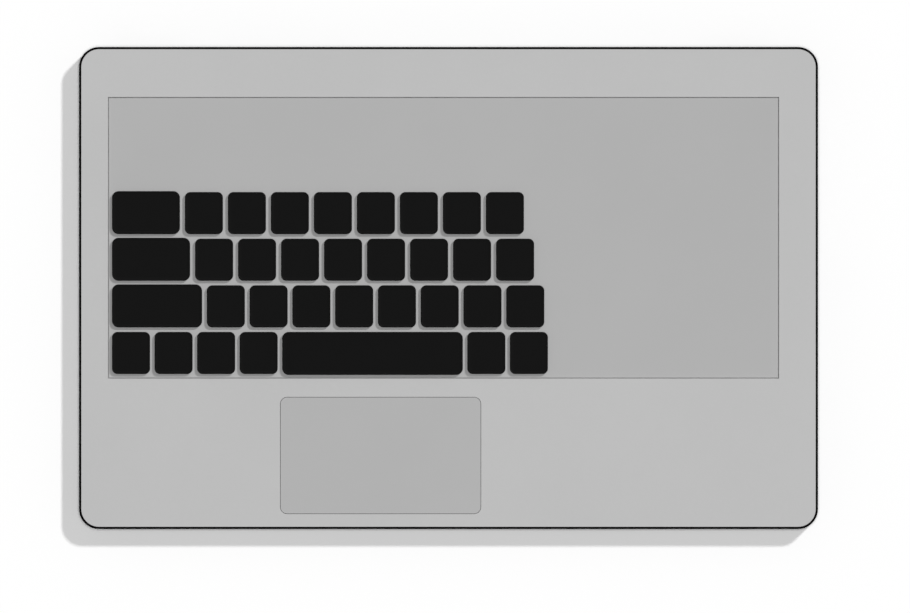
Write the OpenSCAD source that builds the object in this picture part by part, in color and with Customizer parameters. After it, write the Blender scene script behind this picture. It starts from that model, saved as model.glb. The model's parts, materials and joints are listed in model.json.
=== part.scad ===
// Base of a laptop whose lid and most of whose keys are gone. Millimetres, +X right, +Y rear, +Z up.
// The origin lies on the table, under the middle of the body.

/* [Body] */
// Width of the body over its rim
body_w = 326.5; // [324:0.5:332]
// Depth of the body, front to rear
body_d = 213; // [212:0.5:218]
// Radius of the body's corners in plan
corner_r = 8.8; // [7:0.1:10]
// Radius of the edge between the sides and the underside
edge_r = 4; // [3:0.1:4.5]
// Thickness of the bottom case's walls
wall = 2; // [1.8:0.1:2.2]
// Width of the rim that shows round the deck
rim_w = 0.9; // [0.7:0.1:1.2]
// Height of the rubber feet
foot_h = 1.5; // [1:0.1:2]

/* [Keyboard] */
// Width of the keyboard opening
well_w = 296.5; // [294:0.5:298]
// Depth of the keyboard opening
well_d = 124.4; // [123:0.1:125]
// Deck left of the keyboard opening
well_left = 12.8; // [12:0.1:14]
// Deck behind the keyboard opening
well_rear = 22.1; // [21:0.1:23]
// Width of a letter key
key_w = 16.8; // [16:0.1:17]
// Depth of a letter key
key_d = 18.6; // [18:0.1:18.8]
// Depth of a wide key
wide_d = 19; // [18.4:0.1:19.2]
// Distance from one row to the next
row_pitch = 20.6; // [20.2:0.1:20.8]
// Plate that shows left of the first keys
key_margin = 1.77; // [1.5:0.01:2]
// Plate that shows in front of the first letter keys
front_margin = 2; // [1.7:0.1:2.1]
// Corner radius of a letter key
key_r = 2.4; // [2:0.1:2.8]
// Corner radius of a wide key
wide_r = 2.9; // [2:0.1:3.2]
// How far a key travels
key_travel = 1.3; // [1:0.1:1.3]

/* [Touchpad] */
// Width of the touchpad opening
pad_w = 88.8; // [80:0.1:92]
// Depth of the touchpad opening
pad_d = 51.7; // [48:0.1:52]
// Middle of the touchpad, left of the body's middle
pad_left = 30; // [25:0.5:35]
// Deck between the keyboard and touchpad openings
pad_gap = 8.15; // [8:0.05:9]
// Corner radius of the touchpad opening
pad_r = 3.1; // [2:0.1:4]

/* [Fan] */
// Number of blades on the fan rotor
blade_count = 19; // [11:2:23]
// Number of fins behind the fan
fin_count = 28; // [20:1:32]

/* [Hidden] */
$fn = 48;
past = 1;                         // how far a cutting shape runs past a face

// Heights above the table
floor_z = foot_h;                 // underside of the bottom case
inner_z = floor_z + 1.5;          // its inner floor
seat_z = 14.8;                    // where the deck rests
rim_z = 15.8;
deck_z = 16;                      // top of the deck
ledge_z = 14.2;                   // the ledge that carries the keyboard plate
ledge_t = 1;
plate_z = 15;                     // top of the keyboard plate
membrane_z = 13.9;
press_gap = 0.1;                  // what is left below a pressed key cap
cap_z = plate_z + press_gap + key_travel;
cap_under_z = cap_z + 0.5;        // underside of the cap's top wall
cap_top_z = cap_under_z + 0.7;
board_z = 5;                      // underside of the mainboard
board_t = 1.2;
board_top_z = board_z + board_t;

// Plan of the body and its two openings
half_w = body_w / 2;
half_d = body_d / 2;
deck_gap = 0.1;                   // between the deck and the rim
deck_w = body_w - 2 * (rim_w + deck_gap);
deck_d = body_d - 2 * (rim_w + deck_gap);
well_x0 = -half_w + well_left;
well_x1 = well_x0 + well_w;
well_y1 = half_d - well_rear;
well_y0 = well_y1 - well_d;
well_x = (well_x0 + well_x1) / 2;
well_y = (well_y0 + well_y1) / 2;
line_gap = 0.4;                   // the fine gap round the keyboard plate
pad_line_gap = 0.2;               // and round the touchpad
ledge_w = 2.5;                    // how far the ledge reaches in under the plate
ledge_wall = 1.2;
pad_x = -pad_left;
pad_y1 = well_y0 - pad_gap;
pad_y0 = pad_y1 - pad_d;
pad_y = (pad_y0 + pad_y1) / 2;

// Keys, row by row from the front: [gap between keys, [[name, width], ...]]
wide_tab = 30;
wide_caps = 34.5;
wide_shift = 39.8;
wide_space = 79.8;
function letters(names) = [for (n = names) [str("key_", n), key_w]];
ROWS = [
    [2.0, [["control_key", key_w], ["function_key", key_w], ["super_key", key_w], ["alt_key", key_w],
           ["space_bar", wide_space], ["alt_gr_key", key_w], ["menu_key", key_w]]],
    [2.1, concat([["shift_key", wide_shift]], letters(["z", "x", "c", "v", "b", "n", "m", "comma"]))],
    [2.2, concat([["caps_key", wide_caps]], letters(["a", "s", "d", "f", "g", "h", "j", "k"]))],
    [2.2, concat([["tab_key", wide_tab]], letters(["q", "w", "e", "r", "t", "y", "u", "i"]))],
];
function key_left(row, i) =
    i == 0 ? well_x0 + key_margin : key_left(row, i - 1) + row[1][i - 1][1] + row[0];
// A wide key is deeper than a letter key: the space bar towards the front, the others towards the rear
function key_y(r, w) = well_y0 + front_margin + key_d / 2 + r * row_pitch
    + (w > key_w ? (r == 0 ? -1 : 1) * (wide_d - key_d) / 2 : 0);
// Each key: [name, x and y of its middle, width]
KEYS = [for (r = [0:len(ROWS) - 1]) for (i = [0:len(ROWS[r][1]) - 1])
    let (key = ROWS[r][1][i]) [key[0], key_left(ROWS[r], i) + key[1] / 2, key_y(r, key[1]), key[1]]];
WIDE_KEYS = [for (key = KEYS) if (key[3] > key_w) key];

cap_wall = 0.9;
window_w = 12.4;                  // hole in the plate under each key
window_d = 13.4;
window_r = 1;
hook_size = [2.2, 0.8, 0.5];
hook_at = [4, 6.3];

// Scissor pair under each key: two frames that cross, one inside the other
link_l = 10.4;
link_t = 0.6;
link_bar = 0.7;
link_outer_w = 9.6;
link_inner_w = 7.8;
link_low_z = plate_z - 0.15;
link_high_z = cap_under_z - 0.45;
link_angle = asin((link_high_z - link_low_z) / link_l);
link_mid_z = (link_low_z + link_high_z) / 2;
link_mid_x = (link_outer_w + link_inner_w - 2 * link_bar) / 4;
link_pin_r = 0.25;
clip_size = [1, 2, link_t];
clip_at = [5.45, 4.4];            // middle of each clip from the key's middle

dome_base_r = 3;
dome_top_r = 1.5;
dome_wall = 0.5;

wire_r = 0.4;                     // stabiliser wire
wire_y = 6.6;
wire_arm = 6.8;
wire_high_z = cap_under_z - 0.55;
wire_low_z = wire_high_z - 0.5;
wire_toe = 1.5;
wire_end_gap = 3.2;               // from the end of the cap to the wire

// Touchpad
pad_top_z = 15.75;
pad_t = 1.25;
pad_bottom_z = pad_top_z - pad_t;
pad_board_t = 1;
pin_r = 0.8;
pin_fit = 0.05;
pin_at = [pad_y1 + 1.9, 13.4];    // y and z of the hinge line
arm_t = 3;
arm_h = 1.6;
arm_out = 32;                     // arms left and right of the touchpad's middle
lug_t = 3;
lug_gap = 0.3;
bridge_z = 11.2;
bridge_t = 0.8;
bridge_w = 8;
bridge_out = 3.4;
pad_board_in = 6;                 // from the edge of the opening to the touchpad's board
pad_board_shift = 3;              // towards the front
plug_x = 12;                      // from the touchpad's middle to the plug below its board
plug_size = [8, 8, 0.9];
ribbon_t = 0.2;
ribbon_w = 8;
ribbon_drop_y = -41.5;
switch_r = 2.5;
switch_h = 0.8;

// Places of the pieces inside, as [lowest corner, highest corner]
BATTERY = [[-120, -94, inner_z + 0.3], [120, -49, 9.5]];
BATTERY_PLUG = [[20, -49, board_top_z], [36, -37, board_top_z + 2]];
battery_cells = 3;
battery_seam = 2;
cell_r = 2.5;
bay_gap = 0.4;
bay_wall = 1.2;
bay_top_z = 7;
SPEAKER = [[half_w - 37, -92, inner_z + 0.4], [half_w - 12, -60, 11]];
speaker_r = 4;
cone_r = 9.5;
cone_depth = 1.5;
BOARD = [[-20, -40], [half_w - 15.25, -40], [half_w - 15.25, -6], [half_w - 7.25, -6],
         [half_w - 7.25, 80], [-20, 80]];
PROCESSOR = [[-4, 33, board_top_z], [24, 57, board_top_z + 1]];
DIE = [[4, 40, board_top_z + 1], [16, 50, board_top_z + 1.4]];
CHIPS = [
    [[44, 46, board_top_z], [62, 64, board_top_z + 1.1]],
    [[72, 50, board_top_z], [84, 60, board_top_z + 1]],
    [[-12, 0, board_top_z], [2, 12, board_top_z + 1.2]],
    [[26, -30, board_top_z], [38, -20, board_top_z + 1]],
    [[96, 42, board_top_z], [104, 50, board_top_z + 0.9]],
    [[110, 60, board_top_z], [122, 70, board_top_z + 1]],
    [[-14, 62, board_top_z], [-4, 72, board_top_z + 1]],
];
coil_size = [6, 6, 2.4];
COILS_AT = [for (i = [0:4]) [28, 34 + 8 * i]];
MEMORY_SLOT = [[60, 0, board_top_z], [130, 5, 10.4]];
MEMORY = [[61, -30, 8], [129, 0, 9]];
memory_chip = [12, 14, 1];
memory_chips = 4;
SSD_SLOT = [[120, 9, board_top_z], [125, 33, 10.2]];
SSD = [[40, 10, 7.7], [120, 32, 8.5]];
SSD_STUD = [[38, 18, board_top_z], [41.5, 24, 7.7]];
ssd_chip = [20, 16, 1.2];
ssd_chips = 3;
RIBBON_SOCKET = [[0, -38, board_top_z], [20, -34, board_top_z + 1.8]];
TAIL = [[1, -34, membrane_z - 0.3], [19, -10, membrane_z]];
TAIL_DROP = [[1, -34, board_top_z + 0.5], [19, -33.7, membrane_z]];
PAD_SOCKET = [[-19, -40, board_top_z], [-9, -37, board_top_z + 1.8]];
cell_at = [46, -8];               // coin cell
cell_size = [10, 3.2];            // its radius and height

fan_at = [-70, 58];
fan_side = 56;
fan_z = inner_z + 0.3;
fan_h = 8.2;
fan_wall = 0.8;
intake_r = 19;
spider_w = 4;
hub_r = 11;
hub_post_r = 1.5;
rotor_z = fan_z + 1.6;
rotor_h = 5;
blade_r = 25;
blade_t = 0.7;
blade_lean = 32;                  // how far a blade leans from the radius
FINS = [[fan_at[0] - fan_side / 2, 87, 3.6], [fan_at[0] + fan_side / 2, 100, 9.6]];
fin_t = 0.5;
pipe_size = [8, 2.5];
pipe_r = 1;
pipe_bend_r = 14;
pipe_at = [10, 94];               // x of its leg over the processor, y of its leg over the fins
pipe_start_y = 34;
pipe_end_x = FINS[0][0] + 2;
cold_plate = [[-2, 34, DIE[1][2]], [22, 56, FINS[1][2]]];

// Sockets in the side walls, as [y of the middle, width, height] and the cut of a shell's lower corners
socket_depth = 13.4;
socket_out = 0.2;                 // how far a socket stays inside the side
socket_fit = 0.2;
shell_t = 0.4;
USB = [[48, 14, 6.6, 0], [26, 14, 6.6, 0]];
VIDEO = [71, 15.4, 6, 1.8];
cut_h = 2.2;
tongue = [9, 1.8];                // length and thickness
tongue_side = 1.5;
tongue_drop = 1;                  // from the shell's upper wall
collar_l = wall + 0.3;            // collar of a round socket, which passes the wall
collar_play = 0.15;               // its play to each side, along the wall
AUDIO = [6, 7, 5.6];
audio_collar_r = 2.7;
audio_bore_r = 1.8;
audio_depth = 12;
POWER = [60, 9.5, 8.6];
power_z = 4.4;
power_collar_r = 4.1;
power_bore_r = 2.75;
power_depth = 9.5;
power_pin_r = 0.8;
power_pin_in = 1;                 // how far its tip stays inside the socket
lead_r = 1.2;
LEAD = [[-half_w + 13.6, 60, 6.4], [-half_w + 20, 60, 6.4], [-half_w + 20, 24, 6.4], [-20, 24, 6.4]];
LEAD_PLUG = [[-20, 19, board_top_z], [-12, 29, board_top_z + 3]];

// Hinge brackets, which held the lid's shafts
bracket_x = half_w - 33;          // middle of each bracket
BRACKET_PLATE = [[-16, 82, board_z], [16, 94, board_z + board_t]];
band_at = [97, 9.3];
band_r = 4;
band_bore_r = 2.5;
band_l = 12;
WINDOW = [[-16, 4.8], [16, 13.2]];

// Screws
screw_r = 1.25;
screw_fit = 0.1;
head_r = 2.3;
head_h = 1.2;
column_r = 4.2;
column_z = 5;
boss_r = 2.6;
sink_r = 2.6;
sink_h = 1.8;
case_screw_l = 7;
standoff_r = 2.6;
board_hole_l = 2.6;               // from the underside of the mainboard
board_bite = 2;                   // how deep a board screw goes below that
side_screw_x = half_w - 6.25;
CASE_SCREWS = [
    [-side_screw_x + 7, -100], [-100, -100], [40, -100], [side_screw_x - 7, -100],
    [-side_screw_x, -20], [side_screw_x, -20], [-104, 98], [40, 98], [104, 98],
];
BOARD_SCREWS = concat([[-16, -20], [-15, 50], [50, -34], [136, -34], [140, 76], [36, 76]],
    [for (side = [-1, 1]) for (x = [-11, 11]) [side * bracket_x + x, 86]]);

// Feet: [x, y, length], a length of 0 for a round one
foot_r = 5;
FEET = [[-bracket_x, 88, 26], [bracket_x, 88, 26], [-bracket_x, -94, 0], [bracket_x, -94, 0]];
foot_edge = 0.5;

// Slots
slot_w = 2.4;
slot_pitch = 5;
speaker_slot_l = 16;
vent_count = 9;
vent_w = 4;
VENT_Z = [4.4, 9.2];

// Shared shapes
module box(corners) {
    translate(corners[0]) cube(corners[1] - corners[0]);
}

module frame_2d(w, d, bar_w) {
    difference() {
        square([w, d], center = true);
        square([w - 2 * bar_w, d - 2 * bar_w], center = true);
    }
}

module rounded_2d(w, d, r) {
    square([w - 2 * r, d], center = true);
    square([w, d - 2 * r], center = true);
    for (x = [-1, 1]) for (y = [-1, 1]) translate([x * (w / 2 - r), y * (d / 2 - r)]) circle(r);
}

module slab(z0, z1) {
    translate([0, 0, z0]) linear_extrude(z1 - z0) children();
}

module rod(a, b, r) {
    v = b - a;
    translate(a) rotate([0, acos(v[2] / norm(v)), atan2(v[1], v[0])]) cylinder(h = norm(v), r = r);
}

// Lies along X between x0 and x1 at height z
module axle(x0, x1, y, z, r) {
    translate([x0, y, z]) rotate([0, 90, 0]) cylinder(h = x1 - x0, r = r);
}

// Bottom case
module tub_section(w) {
    h = rim_z - floor_z;
    translate([-w / 2, edge_r]) square([w, h - edge_r]);
    translate([edge_r - w / 2, 0]) square([w - 2 * edge_r, h]);
    for (x = [-1, 1]) translate([x * (w / 2 - edge_r), edge_r]) circle(edge_r);
}

module tub_corner() {
    rotate_extrude() intersection() {
        tub_section(2 * corner_r);
        square([corner_r, rim_z]);
    }
}

module tub_solid() {
    translate([0, 0, floor_z]) {
        translate([corner_r - half_w, 0, 0]) rotate([90, 0, 90]) linear_extrude(body_w - 2 * corner_r)
            tub_section(body_d);
        translate([0, half_d - corner_r, 0]) rotate([90, 0, 0]) linear_extrude(body_d - 2 * corner_r)
            tub_section(body_w);
        for (x = [-1, 1]) for (y = [-1, 1])
            translate([x * (half_w - corner_r), y * (half_d - corner_r), 0]) tub_corner();
    }
}

module tub_hollow() {
    slab(inner_z, rim_z + past) rounded_2d(body_w - 2 * wall, body_d - 2 * wall, corner_r - wall);
    slab(seat_z, rim_z + past) rounded_2d(body_w - 2 * rim_w, body_d - 2 * rim_w, corner_r - rim_w);
}

// Outline of a socket, grown on every side; it stands on z = 0
module socket_2d(socket, grow) {
    x = socket[1] / 2 + grow;
    top = socket[2] + grow;
    polygon([[-x, top], [x, top], [x, cut_h], [x - socket[3], -grow], [socket[3] - x, -grow], [-x, cut_h]]);
}

module socket_hole(socket) {
    translate([half_w - 2 * wall, socket[0], board_top_z]) rotate([90, 0, 90]) linear_extrude(3 * wall)
        socket_2d(socket, socket_fit);
}

// Hole for a round socket's collar, with more play along the wall than up and down
module collar_hole(side, y, z, r) {
    translate([side * half_w - 2 * wall, y, z]) rotate([90, 0, 90]) linear_extrude(4 * wall) {
        square([2 * collar_play, 2 * (r + socket_fit)], center = true);
        for (x = [-1, 1]) translate([x * collar_play, 0]) circle(r + socket_fit);
    }
}

module floor_slot(x, y, l) {
    translate([x, y, 0]) slab(floor_z - past, inner_z + past) rounded_2d(l, slot_w, slot_w / 3);
}

module intake_slots() {
    for (y = [-3 * slot_pitch:slot_pitch:3 * slot_pitch])
        floor_slot(fan_at[0], fan_at[1] + y, 2 * sqrt(intake_r * intake_r - y * y));
}

module speaker_slots() {
    middle = (SPEAKER[0] + SPEAKER[1]) / 2;
    for (side = [-1, 1]) for (i = [-2:2])
        floor_slot(side * middle[0], middle[1] + i * slot_pitch, speaker_slot_l);
}

module exhaust_slots() {
    pitch = fan_side / vent_count;
    for (i = [0:vent_count - 1])
        translate([FINS[0][0] + (i + 0.5) * pitch - vent_w / 2, half_d - 2 * wall, VENT_Z[0]])
            cube([vent_w, 3 * wall, VENT_Z[1] - VENT_Z[0]]);
}

module hinge_windows() {
    for (side = [-1, 1])
        translate([side * bracket_x + WINDOW[0][0], half_d - 2 * wall, WINDOW[0][1]])
            cube([WINDOW[1][0] - WINDOW[0][0], 3 * wall, WINDOW[1][1] - WINDOW[0][1]]);
}

// Low walls round the battery, with a notch for its plug
module battery_bay() {
    size = BATTERY[1] - BATTERY[0];
    plug = BATTERY_PLUG[1] - BATTERY_PLUG[0];
    difference() {
        translate([0, (BATTERY[0][1] + BATTERY[1][1]) / 2, 0]) slab(inner_z, bay_top_z)
            frame_2d(size[0] + 2 * (bay_gap + bay_wall), size[1] + 2 * (bay_gap + bay_wall), bay_wall);
        translate(BATTERY_PLUG[0] - [bay_gap, 0, bay_gap]) cube(plug + [2 * bay_gap, 0, bay_gap]);
    }
}

module bottom_case() {
    color("#0d0d0d") difference() {
        union() {
            difference() {
                tub_solid();
                tub_hollow();
            }
            for (p = CASE_SCREWS) translate([p[0], p[1], inner_z])
                cylinder(h = column_z - inner_z, r = column_r);
            for (p = BOARD_SCREWS) translate([p[0], p[1], inner_z])
                cylinder(h = board_z - inner_z, r = standoff_r);
            battery_bay();
        }
        for (p = CASE_SCREWS) translate([p[0], p[1], 0]) {
            cylinder(h = floor_z + sink_h, r = sink_r);
            cylinder(h = column_z + past, r = screw_r + screw_fit);
        }
        for (p = BOARD_SCREWS) translate([p[0], p[1], board_z - board_hole_l])
            cylinder(h = board_hole_l + past, r = screw_r + screw_fit);
        for (socket = concat(USB, [VIDEO])) socket_hole(socket);
        collar_hole(1, AUDIO[0], board_top_z + AUDIO[2] / 2, audio_collar_r);
        collar_hole(-1, POWER[0], power_z + POWER[2] / 2, power_collar_r);
        intake_slots();
        speaker_slots();
        exhaust_slots();
        hinge_windows();
    }
}

// Deck
module deck_sheet() {
    slab(seat_z, deck_z) difference() {
        rounded_2d(deck_w, deck_d, corner_r - rim_w - deck_gap);
        translate([well_x, well_y]) square([well_w, well_d], center = true);
        translate([pad_x, pad_y]) rounded_2d(pad_w, pad_d, pad_r);
    }
}

module keyboard_ledge() {
    translate([well_x, well_y, 0]) {
        slab(ledge_z - ledge_t, seat_z)
            frame_2d(well_w + 2 * ledge_wall, well_d + 2 * ledge_wall, ledge_wall);
        slab(ledge_z - ledge_t, ledge_z) frame_2d(well_w, well_d, ledge_w);
    }
}

// Lugs that hold the touchpad's pins, and the bridge that its switch presses on
module touchpad_lugs() {
    for (side = [-1, 1]) {
        x = pad_x + side * (arm_out + arm_t + lug_gap);
        difference() {
            translate([x - lug_t / 2, pin_at[0] - lug_t / 2, pin_at[1] - lug_t / 2])
                cube([lug_t, lug_t, seat_z - pin_at[1] + lug_t / 2]);
            axle(x - lug_t, x + lug_t, pin_at[0], pin_at[1], pin_r + pin_fit);
        }
        translate([pad_x + side * (pad_w / 2 + bridge_out) - bridge_out / 2, pad_y0 + bridge_w / 2, bridge_z])
            cube([bridge_out, bridge_w, seat_z - bridge_z]);
    }
    translate([pad_x - pad_w / 2 - bridge_out, pad_y0 + bridge_w / 2, bridge_z])
        cube([pad_w + 2 * bridge_out, bridge_w, bridge_t]);
}

module deck() {
    color("#bdbdbd") {
        deck_sheet();
        keyboard_ledge();
        touchpad_lugs();
        for (p = CASE_SCREWS) translate([p[0], p[1], column_z]) difference() {
            cylinder(h = seat_z - column_z, r = boss_r);
            translate([0, 0, -past]) cylinder(h = case_screw_l, r = screw_r + screw_fit);
        }
    }
}

// Keyboard
module keyboard_plate() {
    color("#b1b1b1") {
        slab(ledge_z, plate_z) difference() {
            translate([well_x, well_y]) square([well_w - 2 * line_gap, well_d - 2 * line_gap], center = true);
            for (key = KEYS) translate([key[1], key[2]]) rounded_2d(window_w, window_d, window_r);
        }
        for (key = KEYS) for (x = [-1, 1]) for (y = [-1, 1])
            translate([key[1] + x * hook_at[0], key[2] + y * (hook_at[1] + hook_size[1]), plate_z])
                translate([-hook_size[0] / 2, -hook_size[1] / 2, 0]) cube(hook_size);
    }
}

module keyboard_membrane() {
    color("#3c4a3e") {
        translate([well_x, well_y, 0]) slab(membrane_z, ledge_z)
            square([well_w - 2 * (ledge_w + line_gap), well_d - 2 * (ledge_w + line_gap)], center = true);
        box(TAIL);
        box(TAIL_DROP);
    }
}

module link(w, tilt) {
    translate([0, 0, link_mid_z]) rotate([tilt, 0, 0]) translate([0, 0, -link_t / 2]) linear_extrude(link_t)
        frame_2d(w, link_l, link_bar);
}

module scissor_links() {
    color("white") for (key = KEYS) translate([key[1], key[2], 0]) {
        link(link_outer_w, link_angle);
        link(link_inner_w, -link_angle);
        for (side = [-1, 1]) axle(side * link_mid_x - link_bar, side * link_mid_x + link_bar, 0, link_mid_z,
                                  link_pin_r);
    }
}

module rubber_domes() {
    h = cap_under_z - ledge_z;
    color("#d8d8d4") for (key = KEYS) translate([key[1], key[2], ledge_z]) rotate_extrude() polygon([
        [dome_base_r - dome_wall, 0], [dome_base_r, 0], [dome_base_r, dome_wall],
        [dome_top_r, h - 2 * dome_wall], [dome_top_r, h], [0, h], [0, h - dome_wall],
        [dome_top_r - dome_wall, h - 2 * dome_wall]]);
}

module stabiliser_bars() {
    color("silver") for (key = WIDE_KEYS) translate([key[1], key[2], 0]) {
        x = key[3] / 2 - wire_end_gap;
        axle(-x, x, wire_y, wire_high_z, wire_r);
        for (side = [-1, 1]) {
            elbow = [side * x, wire_y, wire_high_z];
            toe = [side * x, wire_y - wire_arm, wire_low_z];
            translate(elbow) sphere(wire_r);
            translate(toe) sphere(wire_r);
            rod(elbow, toe, wire_r);
            rod(toe, toe - [side * wire_toe, 0, 0], wire_r);
        }
    }
}

// A cap that is hollow below, with four clips round its middle for the scissor pair
module key_cap(key) {
    w = key[3];
    d = w > key_w ? wide_d : key_d;
    r = w > key_w ? wide_r : key_r;
    color("#161616") translate([key[1], key[2], 0]) {
        difference() {
            slab(cap_z, cap_top_z) rounded_2d(w, d, r);
            slab(cap_z - past, cap_under_z) rounded_2d(w - 2 * cap_wall, d - 2 * cap_wall, r - cap_wall);
        }
        for (x = [-1, 1]) for (y = [-1, 1])
            translate([x * clip_at[0] - clip_size[0] / 2, y * clip_at[1] - clip_size[1] / 2,
                       cap_under_z - clip_size[2]]) cube(clip_size);
    }
}

// Touchpad
module touchpad() {
    color("#b1b1b1") {
        slab(pad_bottom_z, pad_top_z) translate([pad_x, pad_y])
            rounded_2d(pad_w - 2 * pad_line_gap, pad_d - 2 * pad_line_gap, pad_r - pad_line_gap);
        for (side = [-1, 1]) {
            x = pad_x + side * arm_out;
            y0 = pad_y1 - 2 * arm_t;
            translate([x - arm_t / 2, y0, pad_bottom_z - arm_h]) {
                cube([arm_t, pin_at[0] - y0, arm_h - lug_gap]);
                cube([arm_t, arm_t, arm_h]);
            }
            pin_end = x + side * (arm_t / 2 + lug_gap + lug_t);
            axle(min(x - arm_t / 2, pin_end), max(x + arm_t / 2, pin_end), pin_at[0], pin_at[1], pin_r);
        }
    }
}

module touchpad_board() {
    w = pad_w - 2 * pad_board_in;
    d = pad_d - 2 * pad_board_in;
    z0 = pad_bottom_z - pad_board_t;
    color("#2c5a3c") {
        translate([pad_x, pad_y - pad_board_shift, 0]) slab(z0, pad_bottom_z) square([w, d], center = true);
        translate([pad_x, pad_y0 + bridge_w, z0 - switch_h]) cylinder(h = switch_h, r = switch_r);
        translate([pad_x + plug_x, pad_y, z0 - plug_size[2]]) cube(plug_size);
    }
}

// From the plug below the touchpad's board, back and down to the mainboard
module touchpad_ribbon() {
    x0 = pad_x + plug_x + (plug_size[0] - ribbon_w) / 2;
    z0 = pad_bottom_z - pad_board_t - plug_size[2] / 2;
    low_z = board_top_z + 0.6;
    color("#1b1a18") {
        box([[x0, pad_y + plug_size[1], z0 - ribbon_t], [x0 + ribbon_w, ribbon_drop_y + ribbon_t, z0]]);
        box([[x0, ribbon_drop_y, low_z], [x0 + ribbon_w, ribbon_drop_y + ribbon_t, z0]]);
        box([[x0, ribbon_drop_y, low_z], [x0 + ribbon_w, PAD_SOCKET[0][1], low_z + ribbon_t]]);
    }
}

// Mainboard and what plugs into it
module mainboard() {
    color("#1f5c3a") {
        slab(board_z, board_top_z) difference() {
            polygon(BOARD);
            for (p = BOARD_SCREWS) translate(p) circle(screw_r + 2 * screw_fit);
        }
        for (chip = concat(CHIPS, [PROCESSOR, DIE, MEMORY_SLOT, SSD_SLOT, SSD_STUD, RIBBON_SOCKET,
                                   PAD_SOCKET, LEAD_PLUG])) box(chip);
        for (p = COILS_AT) translate([p[0], p[1], board_top_z]) cube(coil_size);
        translate([cell_at[0], cell_at[1], board_top_z]) cylinder(h = cell_size[1], r = cell_size[0]);
    }
}

// A thin board with a row of chips on top
module card(corners, chip, count) {
    size = corners[1] - corners[0];
    pitch = size[0] / count;
    box(corners);
    for (i = [0:count - 1])
        translate([corners[0][0] + (i + 0.5) * pitch - chip[0] / 2,
                   corners[0][1] + (size[1] - chip[1]) / 2, corners[1][2]]) cube(chip);
}

module memory_module() {
    color("#256b45") card(MEMORY, memory_chip, memory_chips);
}

module ssd_module() {
    color("#1d4f7a") card(SSD, ssd_chip, ssd_chips);
}

module pipe_section() {
    rounded_2d(pipe_size[0], pipe_size[1], pipe_r);
}

module heat_pipe() {
    z = FINS[1][2] + pipe_size[1] / 2;
    bend_at = pipe_at - [pipe_bend_r, pipe_bend_r];
    color("#b87333") {
        box(cold_plate);
        translate([pipe_at[0], bend_at[1], z]) rotate([90, 0, 0])
            linear_extrude(bend_at[1] - pipe_start_y) pipe_section();
        translate([pipe_end_x, pipe_at[1], z]) rotate([90, 0, 90])
            linear_extrude(bend_at[0] - pipe_end_x) pipe_section();
        translate([bend_at[0], bend_at[1], z]) rotate_extrude(angle = 90)
            translate([pipe_bend_r, 0]) pipe_section();
    }
}

module fin_stack() {
    size = FINS[1] - FINS[0];
    pitch = (size[0] - fin_t) / (fin_count - 1);
    color("#c9a27a") {
        for (i = [0:fin_count - 1]) translate(FINS[0] + [i * pitch, 0, 0]) cube([fin_t, size[1], size[2]]);
        for (z = [0, size[2] - fin_t]) translate(FINS[0] + [0, 0, z]) cube([size[0], size[1], fin_t]);
    }
}

// Open at the rear, towards the fins, with a round intake above and below
module fan_housing() {
    color("#2b2b2b") translate([fan_at[0], fan_at[1], fan_z]) {
        difference() {
            slab(0, fan_h) square(fan_side, center = true);
            translate([0, fan_wall, fan_wall]) slab(0, fan_h - 2 * fan_wall)
                square([fan_side - 2 * fan_wall, fan_side], center = true);
            translate([0, 0, -past]) cylinder(h = fan_h + 2 * past, r = intake_r);
        }
        for (a = [0, 120, 240]) rotate([0, 0, a]) translate([0, -spider_w / 2, 0])
            cube([intake_r + past, spider_w, fan_wall]);
        cylinder(h = fan_wall, r = hub_r);
        cylinder(h = fan_h - 2 * fan_wall, r = hub_post_r);
    }
}

module fan_rotor() {
    color("#3a3a3a") translate([fan_at[0], fan_at[1], rotor_z]) difference() {
        union() {
            cylinder(h = rotor_h, r = hub_r);
            for (i = [0:blade_count - 1]) rotate([0, 0, i * 360 / blade_count])
                translate([hub_r - blade_t, 0, 0]) rotate([0, 0, blade_lean])
                    cube([(blade_r - hub_r) / cos(blade_lean / 2), blade_t, rotor_h]);
        }
        translate([0, 0, -past]) cylinder(h = rotor_h + 2 * past, r = hub_post_r + pin_fit);
    }
}

module battery() {
    size = BATTERY[1] - BATTERY[0];
    cell_w = (size[0] - (battery_cells - 1) * battery_seam) / battery_cells;
    color("#1a1a1a") {
        box([BATTERY[0], [BATTERY[1][0], BATTERY[1][1], BATTERY[0][2] + battery_seam]]);
        for (i = [0:battery_cells - 1])
            translate([BATTERY[0][0] + cell_w / 2 + i * (cell_w + battery_seam),
                       (BATTERY[0][1] + BATTERY[1][1]) / 2, 0])
                slab(BATTERY[0][2], BATTERY[1][2]) rounded_2d(cell_w, size[1], cell_r);
        box(BATTERY_PLUG);
    }
}

// Their cones face down, towards the slots
module speakers() {
    size = SPEAKER[1] - SPEAKER[0];
    middle = (SPEAKER[0] + SPEAKER[1]) / 2;
    color("#202020") for (side = [-1, 1]) translate([side * middle[0], middle[1], 0]) difference() {
        slab(SPEAKER[0][2], SPEAKER[1][2]) rounded_2d(size[0], size[1], speaker_r);
        translate([0, 0, SPEAKER[0][2] - past]) cylinder(h = cone_depth + past, r = cone_r);
    }
}

module hinge_brackets() {
    color("#8f9296") for (side = [-1, 1]) difference() {
        translate([side * bracket_x, 0, 0]) {
            box(BRACKET_PLATE);
            translate([-band_l / 2, BRACKET_PLATE[1][1] - band_r, BRACKET_PLATE[0][2]])
                cube([band_l, band_at[0] - BRACKET_PLATE[1][1] + band_r, band_at[1] - BRACKET_PLATE[0][2]]);
            axle(-band_l / 2, band_l / 2, band_at[0], band_at[1], band_r);
        }
        axle(side * bracket_x - band_l, side * bracket_x + band_l, band_at[0], band_at[1], band_bore_r);
        for (p = BOARD_SCREWS) translate([p[0], p[1], board_z - past])
            cylinder(h = board_t + 2 * past, r = screw_r + 2 * screw_fit);
    }
}

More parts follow.
